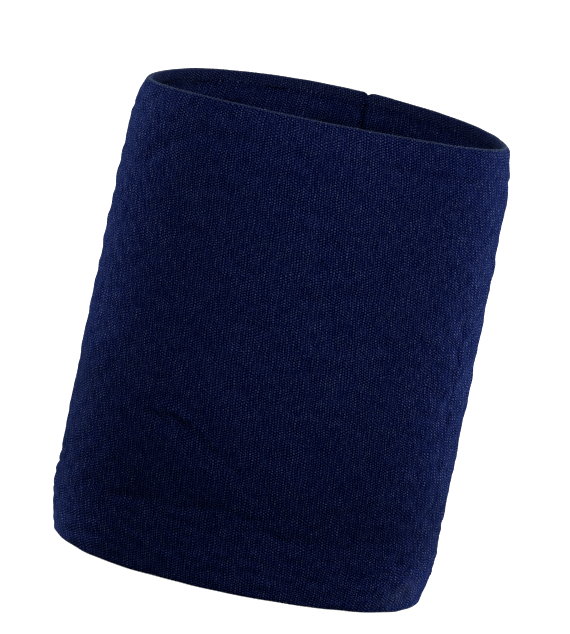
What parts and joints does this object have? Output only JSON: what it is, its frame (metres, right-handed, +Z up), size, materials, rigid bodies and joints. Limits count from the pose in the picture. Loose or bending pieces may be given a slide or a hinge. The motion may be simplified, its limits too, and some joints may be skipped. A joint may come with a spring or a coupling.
{
  "type": "sweat wristband",
  "caption": "Plain tubular sweat wristband: knitted outer shell and lining sewn together at both rims, with a closing seam at the back and elastic threads between the cloths.",
  "frame": {"origin": "on the surface the band stands on, under the middle of the lower rim", "axes": "+Z up along the tube from the lower rim to the upper rim; -Y is the front of the oval, and the closing seam is at the back, towards +X; X runs along the oval's long side"},
  "size_m": [0.0608, 0.0434, 0.075],
  "materials": {
    "shell_knit": "matt brushed jersey knit, dark navy",
    "lining_knit": "matt jersey knit, dark navy",
    "sewing_thread": "spun polyester sewing thread, navy",
    "covered_elastic": "elastic thread covered with navy yarn"
  },
  "bodies": {
    "root": {"outer_shell": "shell_knit", "lining": "lining_knit", "upper_rim_seam_thread": "sewing_thread", "lower_rim_seam_thread": "sewing_thread", "shell_closing_seam_thread": "sewing_thread", "lining_closing_seam_thread": "sewing_thread", "elastic_thread_01": "covered_elastic", "elastic_thread_02": "covered_elastic", "elastic_thread_03": "covered_elastic", "elastic_thread_04": "covered_elastic", "elastic_thread_05": "covered_elastic", "elastic_thread_06": "covered_elastic", "elastic_thread_07": "covered_elastic", "elastic_thread_08": "covered_elastic", "elastic_thread_09": "covered_elastic", "elastic_thread_10": "covered_elastic", "elastic_thread_11": "covered_elastic", "elastic_thread_12": "covered_elastic", "elastic_thread_13": "covered_elastic", "elastic_thread_14": "covered_elastic", "elastic_thread_15": "covered_elastic"}
  },
  "joints": []
}
